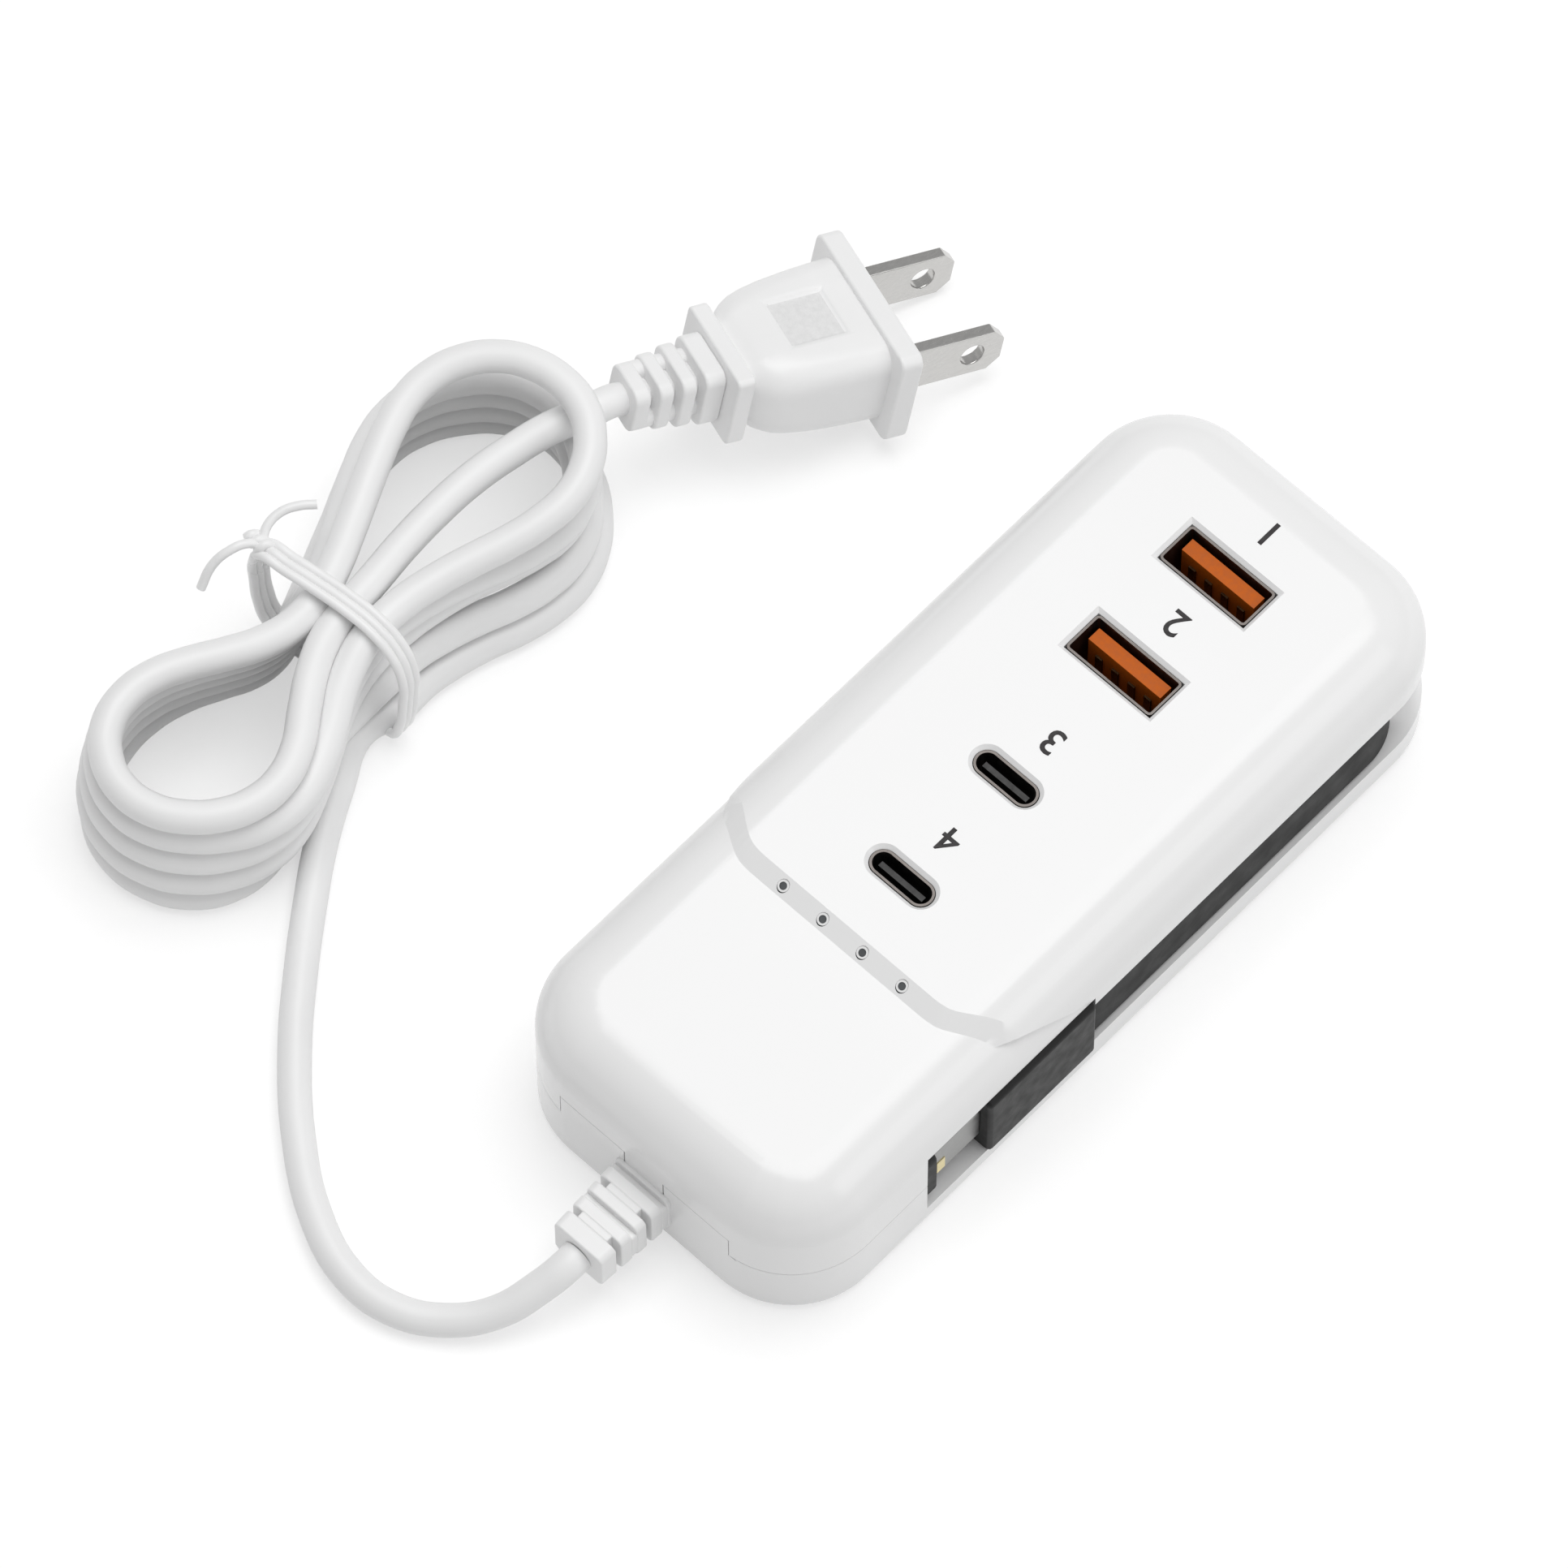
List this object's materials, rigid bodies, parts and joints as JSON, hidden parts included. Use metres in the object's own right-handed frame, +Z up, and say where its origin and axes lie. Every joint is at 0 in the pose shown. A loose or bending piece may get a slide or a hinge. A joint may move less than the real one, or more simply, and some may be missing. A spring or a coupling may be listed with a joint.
{
  "type": "usb power strip",
  "caption": "Desktop USB charging strip: rounded two-shell housing with upright ports in a raised deck, a flat cable docked in its side and a mains lead tied in a hank",
  "frame": {"origin": "on the table under the middle of the housing", "axes": "+X towards the docked cable, +Y along the row of ports to the far end, away from the mains lead, +Z up"},
  "size_m": [0.1135, 0.1435, 0.0252],
  "materials": {
    "housing_plastic": "moulded white plastic with a soft gloss",
    "cord_plastic": "white flexible vinyl",
    "clear_plastic": "frosted clear plastic",
    "orange_plastic": "orange moulded plastic",
    "component_plastic": "black moulding compound",
    "capacitor_sleeve": "dark blue sleeve or coating",
    "winding": "insulated copper under yellow tape",
    "wire_insulation": "coloured wire insulation",
    "dark_rubber": "dark grey flexible moulding",
    "board": "green glass-fibre board",
    "plated_steel": "nickel-plated sheet",
    "tip_metal": "satin grey metal",
    "blade_metal": "nickel-plated brass, polished",
    "contact_metal": "gold-flashed contact",
    "ferrite": "dark fired ferrite",
    "aluminium": "plain sheet"
  },
  "bodies": {
    "root": {"top_housing": "housing_plastic", "bottom_housing": "housing_plastic", "housing_screws": "plated_steel", "light_pipe": "clear_plastic", "status_leds": "component_plastic", "main_board": "board", "usb_a_shell_far": "plated_steel", "usb_a_shell_near": "plated_steel", "usb_a_tongue_far": "orange_plastic", "usb_a_tongue_near": "orange_plastic", "usb_a_contacts_far": "contact_metal", "usb_a_contacts_near": "contact_metal", "usb_c_shell_far": "plated_steel", "usb_c_shell_near": "plated_steel", "usb_c_tongue_far": "component_plastic", "usb_c_tongue_near": "component_plastic", "transformer_core": "ferrite", "transformer_winding": "winding", "transformer_base": "component_plastic", "bulk_capacitors": "capacitor_sleeve", "output_capacitors": "capacitor_sleeve", "line_choke": "winding", "output_choke": "ferrite", "bridge_rectifier": "component_plastic", "power_switch": "component_plastic", "heat_sink": "aluminium", "safety_capacitor": "capacitor_sleeve", "fuse": "component_plastic", "control_chips": "component_plastic", "live_wire": "wire_insulation", "neutral_wire": "wire_insulation", "strain_relief": "cord_plastic", "dock_cable": "dark_rubber", "dock_grip": "dark_rubber", "dock_tip": "tip_metal", "dock_contact": "contact_metal", "cord_lead": "cord_plastic", "cord_hank": "cord_plastic", "cord_tail": "cord_plastic", "cord_tie": "cord_plastic", "plug_body": "cord_plastic", "plug_blade_left": "blade_metal", "plug_blade_right": "blade_metal"}
  },
  "joints": []
}
